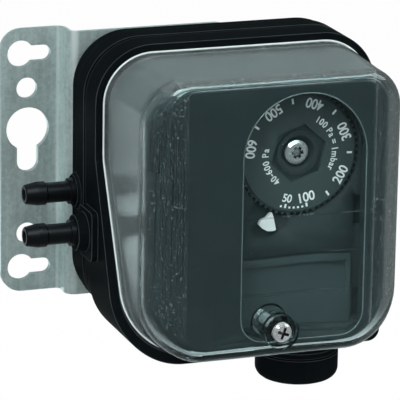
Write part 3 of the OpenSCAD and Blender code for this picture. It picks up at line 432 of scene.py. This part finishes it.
def section(depth, i):
    """Half width, top, bottom and the two corner radii of the cover at a depth, set in by i."""
    run = FRONT - SIDE_R - RIM
    bend = FRONT - SIDE_R
    half = HALF - i + SIDE_DRAFT * min((RIM - depth) / run, 0)
    share = 0.0
    if depth > bend:
        r = SIDE_R - i
        over = min(depth - bend, r)
        half = HALF - SIDE_DRAFT - SIDE_R + math.sqrt(max(r * r - over * over, 0))
        share = math.degrees(math.asin(over / r)) / 90
    edges = []
    for start, draft, radius in ((COVER_TOP, TOP_DRAFT, TOP_R), (COVER_LOW, -LOW_DRAFT, LOW_R)):
        sign = 1 if draft > 0 else -1
        r = max(radius - i, 0.3)
        z = start - sign * i + draft * min((RIM - depth) / run, 0) * (run / (FRONT - RIM - r))
        over = max(min(depth - (FRONT - i - r), r), 0)
        edges.append(z - sign * (r - math.sqrt(r * r - over * over)))
    share = share * share * (3 - 2 * share)
    top_corner = (12.3 - i) * (1 - share) + max(5.0 - 0.7 * i, 2.0) * share
    low_corner = (15.0 - i) * (1 - share) + (9.5 - 0.7 * i) * share
    return half, edges[0], edges[1], top_corner, low_corner


def cover_form(i, back=-1.0):
    """A closed form inside the cover's outline, set in by i millimetres."""
    bend = FRONT - SIDE_R
    steps = 26
    depths = [back, RIM, 40.0, bend]
    depths += [bend + (SIDE_R - i) * math.sin(math.radians(90 * k / steps)) for k in range(1, steps + 1)]
    bm = bmesh.new()
    rings = []
    for depth in depths:
        half, top, low, rt, rl = section(depth, i)
        ring = []
        for sx, z, r, a0 in ((1, top, rt, 0), (-1, top, rt, 90), (-1, low, rl, 180), (1, low, rl, 270)):
            sz = 1 if z > 0 else -1
            for k in range(13):
                a = math.radians(a0 + 90 * k / 12)
                x = BODY_X + sx * (half - r) + r * math.cos(a)
                ring.append(bm.verts.new((x * MM, -depth * MM, (z - sz * r + r * math.sin(a)) * MM)))
        rings.append(ring)
    for a, b in zip(rings, rings[1:]):
        for k in range(len(a)):
            m = (k + 1) % len(a)
            bm.faces.new((a[k], a[m], b[m], b[k]))
    bm.faces.new(rings[0])
    bm.faces.new(list(reversed(rings[-1])))
    bmesh.ops.recalc_face_normals(bm, faces=bm.faces)
    return done(bm, "form")


def done(bm, name):
    mesh = bpy.data.meshes.new(name)
    bm.to_mesh(mesh)
    bm.free()
    return mesh


def bar(x, z, r, y0, y1, sides=48):
    """A round bar along Y, in millimetres."""
    bm = bmesh.new()
    place = Matrix.Translation((x * MM, (y0 + y1) / 2 * MM, z * MM)) @ Matrix.Rotation(math.pi / 2, 4, "X")
    bmesh.ops.create_cone(bm, cap_ends=True, segments=sides, radius1=r * MM, radius2=r * MM,
                          depth=abs(y1 - y0) * MM, matrix=place)
    return done(bm, "bar")


def block(x0, x1, y0, y1, z0, z1):
    bm = bmesh.new()
    size = ((x1 - x0) * MM, (y1 - y0) * MM, (z1 - z0) * MM)
    at = Vector(((x0 + x1) / 2, (y0 + y1) / 2, (z0 + z1) / 2)) * MM
    bmesh.ops.create_cube(bm, size=1.0, matrix=Matrix.Translation(at) @ Matrix.Diagonal((*size, 1)))
    return done(bm, "block")


def behind_rim():
    """All that lies behind the leaning rim of the front shell."""
    bend_z, lean = 7.0, math.tan(math.radians(21))
    rim = [(-RIM, 60.0), (-RIM, bend_z), (-RIM - (bend_z + 60) * lean, -60.0)]
    side = rim + [(40.0, -60.0), (40.0, 60.0)]
    bm = bmesh.new()
    ends = [[bm.verts.new((x * MM, y * MM, z * MM)) for y, z in side] for x in (-20, 110)]
    for k in range(len(side)):
        m = (k + 1) % len(side)
        bm.faces.new((ends[0][k], ends[0][m], ends[1][m], ends[1][k]))
    bm.faces.new(ends[0])
    bm.faces.new(list(reversed(ends[1])))
    bmesh.ops.recalc_face_normals(bm, faces=bm.faces)
    return done(bm, "behind")


def carve(name, mesh, steps):
    """Joins, cuts and intersects a mesh with others, and shades it smooth up to its edges."""
    scene = bpy.context.scene.collection.objects
    main = bpy.data.objects.new(name, mesh)
    scene.link(main)
    others = []
    for kind, other in steps:
        tool = bpy.data.objects.new("tool", other)
        scene.link(tool)
        others.append(tool)
        made = main.modifiers.new("cut", "BOOLEAN")
        made.operation = kind
        made.object = tool
        made.solver = "EXACT"
    bpy.context.view_layer.update()
    shaped = bpy.data.meshes.new_from_object(main.evaluated_get(bpy.context.evaluated_depsgraph_get()))
    for tool in others + [main]:
        bpy.data.objects.remove(tool)
    shaped.name = name
    shaped.shade_smooth()
    shaped.set_sharp_from_angle(angle=math.radians(28))
    return shaped


def pane(depth=0.3, corner=1.3):
    """What is cut from the cover's front to leave the polished pane, with leaning edges."""
    bm = bmesh.new()
    rings = []
    for grow, y in ((0.0, -FRONT + depth), (depth * 1.6, -FRONT - 0.02), (depth * 1.6, -FRONT - 1.0)):
        x0, x1 = BODY_X - PANE_HALF - grow, BODY_X + PANE_HALF + grow
        z0, z1, r = PANE_LOW - grow, PANE_TOP + 0.35 + grow, corner + grow
        ring = []
        for x, z, a0 in ((x1 - r, z1 - r, 0), (x0 + r, z1 - r, 90), (x0 + r, z0 + r, 180), (x1 - r, z0 + r, 270)):
            for k in range(9):
                a = math.radians(a0 + 90 * k / 8)
                ring.append(bm.verts.new(((x + r * math.cos(a)) * MM, y * MM, (z + r * math.sin(a)) * MM)))
        rings.append(ring)
    for a, b in zip(rings, rings[1:]):
        for k in range(len(a)):
            m = (k + 1) % len(a)
            bm.faces.new((a[k], a[m], b[m], b[k]))
    bm.faces.new(rings[0])
    bm.faces.new(list(reversed(rings[-1])))
    bmesh.ops.recalc_face_normals(bm, faces=bm.faces)
    return done(bm, "pane")


def clear_cover():
    lock_x, lock_z = 45.7, -30.4
    steps = [("DIFFERENCE", cover_form(2.2, -2.0)), ("DIFFERENCE", pane()),
             ("UNION", bar(lock_x, lock_z, 4.25, -52.6, -62.6)),
             ("DIFFERENCE", behind_rim()), ("DIFFERENCE", bar(lock_x, lock_z, 1.8, -50.0, -64.0, 32)),
             ("DIFFERENCE", bar(lock_x, lock_z, 2.9, -61.0, -64.0, 40))]
    for z in (-2.2, -11.6, -21.0):
        steps.append(("DIFFERENCE", block(36.4, 67.7, -59.05, -58.2, z - 0.15, z + 0.15)))
    piece = mesh_piece("clear_cover", carve("clear_cover", cover_form(0.0), steps), "clear", "cover")
    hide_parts("cover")


def front_frame():
    """The switch frame, its corners blended like the cover's."""
    bm = bmesh.new()
    bm.from_mesh(nodes["switch_frame"].data)
    bmesh.ops.remove_doubles(bm, verts=bm.verts, dist=1e-6)
    edge = carve("edge", cover_form(2.6), [("DIFFERENCE", cover_form(4.4, -2.0)),
                                           ("DIFFERENCE", block(-20, 110, -45, 10, -80, 80)),
                                           ("DIFFERENCE", block(30, 90, -80, -40, -80, 28.6)),
                                           ("DIFFERENCE", block(0, 100, -80, -40, -80, 10.0))])
    shaped = carve("front_frame", done(bm, "front_frame"), [("UNION", edge), ("INTERSECT", cover_form(2.8))])
    piece = mesh_piece("front_frame", shaped, "frame", "housing")
    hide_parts("switch_frame")


def window_bead():
    """The fine moulded bead round the arched window; the rib is real, its light grey is a painted highlight."""
    x, z, r, low, corner = 52.05, 12.0, 15.75, -33.5, 6.0
    y = -58.15
    points = []
    for k in range(41):
        a = math.radians(180 * k / 40)
        points.append((x + r * math.cos(a), z + r * math.sin(a)))
    for sx, a0 in ((-1, 180), (1, 270)):
        for k in range(13):
            a = math.radians(a0 + 90 * k / 12)
            points.append((x + sx * (r - corner) + corner * math.cos(a), low + corner + corner * math.sin(a)))
    path = [Vector((px * MM, y * MM, pz * MM)) for px, pz in points]
    path = [p for p, before in zip(path, path[-1:] + path[:-1]) if (p - before).length > 0.01 * MM]
    mesh_piece("window_bead", tube("window_bead", path, 0.16 * MM, 8, True), "bead", "housing")


def cover_lip():
    """The fine lip round the cover's open edge, in the light rim material that paints a highlight line."""
    def at_rim(z):
        return RIM + 0.35 + max(0.0, 7.0 - z) * math.tan(math.radians(21))

    path = []
    for sx, top, a0 in ((1, True, 0), (-1, True, 90), (-1, False, 180), (1, False, 270)):
        arc = []
        for k in range(25):
            a = math.radians(a0 + 90 * k / 24)
            depth = RIM
            for _ in range(8):
                half, high, low, rt, rl = section(depth, 0.0)
                z, r = (high, rt) if top else (low, rl)
                pz = z - (1 if top else -1) * r + r * math.sin(a)
                depth = at_rim(pz)
            arc.append(Vector((BODY_X + sx * (half - r) + r * math.cos(a), -depth, pz)) * MM)
        path += arc
        if sx < 0 and top or sx > 0 and not top:
            steps = 22
            ends = (arc[-1].z / MM, -23.5) if top else (arc[-1].z / MM, 20.0)
            for k in range(1, steps):
                z = ends[0] + (ends[1] - ends[0]) * k / steps
                depth = at_rim(z)
                path.append(Vector((BODY_X + sx * section(depth, 0.0)[0], -depth, z)) * MM)
    path = [p for p, before in zip(path, path[-1:] + path[:-1]) if (p - before).length > 0.05 * MM]
    mesh_piece("cover_lip", tube("cover_lip", path, 0.27 * MM, 10, True), "rim", "cover")


def dial_scale():
    """The printed scale: numbers, ticks, dots and the two round lines of letters."""
    bm = bmesh.new()
    for number, angle, radius, height in ((50, -103.5, 11.2, 1.95), (100, -79.3, 11.2, 2.4),
                                          (200, -29.8, 12.4, 2.45), (300, 21.4, 12.4, 2.45),
                                          (400, 72.6, 12.4, 2.45), (500, 122.8, 12.4, 2.45),
                                          (600, 171.0, 12.4, 2.45)):
        add_text(bm, str(number), height * MM, on_dial(radius * MM, angle))
    for angle in (147.0, 98.6, 47.0, -3.6, -54.6):
        box_at(bm, (0.25 * MM, 0.68 * MM, PRINT_T / 2), on_dial(13.05 * MM, angle))
    for angle in (-80.0, -103.4):
        box_at(bm, (0.25 * MM, 0.5 * MM, PRINT_T / 2), on_dial(13.2 * MM, angle))
    for angle in (-84.7, -89.4, -94.0, -98.7, -108.2):
        box_at(bm, (0.25 * MM, 0.25 * MM, PRINT_T / 2), on_dial(13.45 * MM, angle))
    widths = {" ": 0.55, "P": 1.1, "a": 0.95, "m": 1.5, "r": 0.7, "-": 0.7}
    for words, first, step, radius in (("100 Pa = 1mbar", 59.5, -7.3, 9.35), ("40-600 Pa", 231.3, -8.2, 8.6)):
        angle = first - step * widths.get(words[0], 1.0) / 2
        for letter in words:
            half_step = step * widths.get(letter, 1.0) / 2
            angle += half_step
            if letter != " ":
                add_text(bm, letter, 1.6 * MM, on_dial(radius * MM, angle, True))
            angle += half_step
    mesh = bpy.data.meshes.new("dial_scale")
    bm.to_mesh(mesh)
    bm.free()
    return mesh_piece("dial_scale", mesh, "print", "dial")


def tube(name, points, radius, sides=10, closed=False):
    """A round wire through points, a closed loop or with flat ends."""
    bm = bmesh.new()
    rings = []
    up = Vector((0, 1, 0))
    last = len(points) - 1
    for i, p in enumerate(points):
        if closed:
            along = (points[(i + 1) % len(points)] - points[i - 1]).normalized()
        else:
            along = (points[min(i + 1, last)] - points[max(i - 1, 0)]).normalized()
        side = along.cross(up).normalized()
        top = side.cross(along)
        rings.append([bm.verts.new(p + (side * math.cos(t) + top * math.sin(t)) * radius)
                      for t in (2 * math.pi * k / sides for k in range(sides))])
    for a, b in zip(rings, rings[1:] + rings[:1] if closed else rings[1:]):
        for k in range(sides):
            m = (k + 1) % sides
            bm.faces.new((a[k], a[m], b[m], b[k])).smooth = True
    if not closed:
        bm.faces.new(rings[0])
        bm.faces.new(list(reversed(rings[-1])))
    bmesh.ops.recalc_face_normals(bm, faces=bm.faces)
    return done(bm, name)


def spring():
    """The range spring, a coil of wire that keeps one length here; in the switch it shortens as the dial is turned up.
    """
    low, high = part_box("range_spring")
    wire = 0.45 * MM
    rocker_room, nut_room = 1.3 * MM, 0.15 * MM
    y0, y1 = high.y - wire - rocker_room, low.y + wire + nut_room
    turns = 5
    steps = 28 * turns
    points = []
    for i in range(steps + 1):
        t = i / steps
        a = 2 * math.pi * turns * t
        points.append(Vector((DIAL_X + 4.6 * MM * math.cos(a), y0 + (y1 - y0) * t,
                              DIAL_Z + 4.6 * MM * math.sin(a))))
    piece = mesh_piece("spring_wire", tube("spring_wire", points, wire), "dark_steel", "housing")
    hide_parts("range_spring")
    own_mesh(piece)
    return piece


dial_scale()
spring()
clear_cover()
cover_lip()
front_frame()
window_bead()


# ---------------------------------------------------------------- stage, lamps and camera
def floor():
    mesh = bpy.data.meshes.new("floor")
    half, front, z = 4.0, -0.35, -0.17
    mesh.from_pydata([(-half, front, z), (half, front, z), (half, 2 * half, z), (-half, 2 * half, z)], [],
                     [(0, 1, 2, 3)])
    piece = bpy.data.objects.new("floor", mesh)
    bpy.context.scene.collection.objects.link(piece)
    m = Nodes("floor_paint")
    paint = m.mix(m.noise(9, 3, 0.5), (0.92, 0.92, 0.92), (0.94, 0.94, 0.94))
    lit = m.surface(paint, 0.9, Specular_IOR_Level=0.1)
    shown = m.add("ShaderNodeEmission")
    shown.inputs["Color"].default_value = (1, 1, 1, 1)
    path = m.add("ShaderNodeLightPath")
    seen = m.math("MAXIMUM", path.outputs["Is Camera Ray"],
                  m.math("MAXIMUM", path.outputs["Is Glossy Ray"], path.outputs["Is Transmission Ray"]))
    around = m.math("ADD", m.axis("X"), m.math("MULTIPLY", m.axis("Y"), 0.62))
    left = m.ramp(m.math("ADD", around, 0.5),
                  [(0.42, (0.07, 0.08, 0.08)), (0.50, (0.22, 0.27, 0.28)), (0.56, (0.34, 0.40, 0.41)),
                   (0.66, (0.70, 0.80, 0.81))])
    right = m.ramp(m.math("ADD", m.axis("X"), 0.5), [(0.60, (1.0, 1.0, 1.0)), (0.85, (0.10, 0.10, 0.10))])
    side = m.add("ShaderNodeMix", data_type="RGBA", blend_type="MULTIPLY")
    side.inputs[0].default_value = 1.0
    m.link(left, side.inputs[6])
    m.link(right, side.inputs[7])
    side = side.outputs[2]
    near = m.ramp(m.axis("Y"), [(0.36, 0.0), (0.42, 1.0), (0.46, 1.0), (0.57, 0.0)])
    unseen = m.math("SUBTRACT", 1.0, path.outputs["Is Camera Ray"])
    leftward = m.ramp(m.math("ADD", m.axis("X"), 0.5), [(0.42, 1.0), (0.49, 0.0)])
    gain = m.math("MULTIPLY", m.math("MULTIPLY", m.math("MULTIPLY", near, leftward), 3.4), unseen)
    m.link(m.math("ADD", gain, 1.0), shown.inputs["Strength"])
    m.link(m.mix(path.outputs["Is Camera Ray"], side, (1.0, 1.0, 1.0)), shown.inputs["Color"])
    both = m.add("ShaderNodeMixShader")
    m.link(m.math("MULTIPLY", seen, 0.95), both.inputs["Fac"])
    m.link(lit.outputs["BSDF"], both.inputs[1])
    m.link(shown.outputs["Emission"], both.inputs[2])
    m.link(both.outputs["Shader"], m.out.inputs["Surface"])
    mesh.materials.append(m.mat)


def world():
    """Plain even light, a white background, and a studio that is darker in front."""
    w = bpy.data.worlds.new("studio")
    bpy.context.scene.world = w
    w.use_nodes = True
    tree = w.node_tree
    tree.nodes.clear()
    out = tree.nodes.new("ShaderNodeOutputWorld")
    path = tree.nodes.new("ShaderNodeLightPath")
    place = tree.nodes.new("ShaderNodeTexCoord")
    split = tree.nodes.new("ShaderNodeSeparateXYZ")
    tree.links.new(place.outputs["Generated"], split.inputs[0])
    depth = tree.nodes.new("ShaderNodeMapRange")
    depth.interpolation_type = "SMOOTHSTEP"
    for name, value in (("From Min", -0.4), ("From Max", 0.5), ("To Min", 0.08), ("To Max", 0.20)):
        depth.inputs[name].default_value = value
    tree.links.new(split.outputs["Y"], depth.inputs["Value"])
    side = tree.nodes.new("ShaderNodeMapRange")
    side.interpolation_type = "SMOOTHSTEP"
    for name, value in (("From Min", 0.4), ("From Max", 0.75), ("To Min", 1.0), ("To Max", 0.25)):
        side.inputs[name].default_value = value
    tree.links.new(split.outputs["X"], side.inputs["Value"])
    level = tree.nodes.new("ShaderNodeMath")
    level.operation = "MULTIPLY"
    tree.links.new(depth.outputs["Result"], level.inputs[0])
    tree.links.new(side.outputs["Result"], level.inputs[1])
    high = tree.nodes.new("ShaderNodeMapRange")
    high.interpolation_type = "SMOOTHSTEP"
    for name, value in (("From Min", 0.55), ("From Max", 0.68), ("To Min", 0.0), ("To Max", 9.0)):
        high.inputs[name].default_value = value
    tree.links.new(split.outputs["Z"], high.inputs["Value"])
    ahead = tree.nodes.new("ShaderNodeMapRange")
    ahead.interpolation_type = "SMOOTHSTEP"
    for name, value in (("From Min", -0.45), ("From Max", -0.55), ("To Min", 0.0), ("To Max", 1.0)):
        ahead.inputs[name].default_value = value
    tree.links.new(split.outputs["Y"], ahead.inputs["Value"])
    soft_box = tree.nodes.new("ShaderNodeMath")
    soft_box.operation = "MULTIPLY_ADD"
    tree.links.new(high.outputs["Result"], soft_box.inputs[0])
    tree.links.new(ahead.outputs["Result"], soft_box.inputs[1])
    tree.links.new(level.outputs["Value"], soft_box.inputs[2])
    gloss = tree.nodes.new("ShaderNodeBackground")
    tree.links.new(soft_box.outputs["Value"], gloss.inputs["Strength"])
    even = tree.nodes.new("ShaderNodeBackground")
    even.inputs["Strength"].default_value = 0.6
    white = tree.nodes.new("ShaderNodeBackground")
    white.inputs["Strength"].default_value = 1.0
    for node, tone in ((gloss, (0.80, 0.98, 1.0)), (even, (1, 1, 1)), (white, (1, 1, 1))):
        node.inputs["Color"].default_value = (*tone, 1)
    bright = tree.nodes.new("ShaderNodeMath")
    bright.operation = "MAXIMUM"
    tree.links.new(path.outputs["Is Glossy Ray"], bright.inputs[0])
    tree.links.new(path.outputs["Is Transmission Ray"], bright.inputs[1])
    straight = tree.nodes.new("ShaderNodeMath")
    straight.operation = "LESS_THAN"
    straight.inputs[1].default_value = 0.5
    tree.links.new(path.outputs["Diffuse Depth"], straight.inputs[0])
    seen = tree.nodes.new("ShaderNodeMath")
    seen.operation = "MULTIPLY"
    tree.links.new(bright.outputs["Value"], seen.inputs[0])
    tree.links.new(straight.outputs["Value"], seen.inputs[1])
    a = tree.nodes.new("ShaderNodeMixShader")
    b = tree.nodes.new("ShaderNodeMixShader")
    tree.links.new(seen.outputs["Value"], a.inputs["Fac"])
    tree.links.new(even.outputs["Background"], a.inputs[1])
    tree.links.new(gloss.outputs["Background"], a.inputs[2])
    tree.links.new(path.outputs["Is Camera Ray"], b.inputs["Fac"])
    tree.links.new(a.outputs["Shader"], b.inputs[1])
    tree.links.new(white.outputs["Background"], b.inputs[2])
    tree.links.new(b.outputs["Shader"], out.inputs["Surface"])


def lamp(name, at, aim, size, watts):
    data = bpy.data.lights.new(name, "AREA")
    data.shape = "RECTANGLE"
    data.size, data.size_y = size
    data.energy = watts
    holder = bpy.data.objects.new(name, data)
    bpy.context.scene.collection.objects.link(holder)
    holder.location = at
    holder.rotation_euler = (Vector(aim) - Vector(at)).to_track_quat("-Z", "Y").to_euler()


def camera():
    """The photograph's view: 20 degrees to the left, 16 above, far off with a long lens."""
    turn, rise, roll = (math.radians(v) for v in (20.0, 16.0, 0.9))
    away, focal = 0.825, 3300.0
    anchor, shown_at = Vector((0, -1.5 * MM, 0)), (26.8, 161.0)
    ahead = Vector((math.sin(turn) * math.cos(rise), math.cos(turn) * math.cos(rise), -math.sin(rise)))
    level = Vector((math.cos(turn), -math.sin(turn), 0))
    above = Vector((math.sin(turn) * math.sin(rise), math.cos(turn) * math.sin(rise), math.cos(rise)))
    right = level * math.cos(roll) + above * math.sin(roll)
    up = above * math.cos(roll) - level * math.sin(roll)
    x = (shown_at[0] - 200) * away / focal
    y = (200 - shown_at[1]) * away / focal
    at = anchor - ahead * away - right * x - up * y
    data = bpy.data.cameras.new("camera")
    data.sensor_width = 36.0
    data.lens = focal / 400 * 36.0
    data.clip_start = 0.01
    holder = bpy.data.objects.new("camera", data)
    bpy.context.scene.collection.objects.link(holder)
    holder.matrix_world = Matrix.Translation(at) @ Matrix((right, up, -ahead)).transposed().to_4x4()
    bpy.context.scene.camera = holder


floor()
world()
lamp("key", (-0.55, -0.55, 0.85), (0.04, -0.03, 0), (0.5, 0.5), 9.5)
lamp("fill", (0.8, -0.45, 0.55), (0.04, -0.03, 0), (0.6, 0.6), 5.0)
camera()
view = bpy.context.scene.view_settings
view.view_transform = "Standard"

bpy.context.view_layer.update()
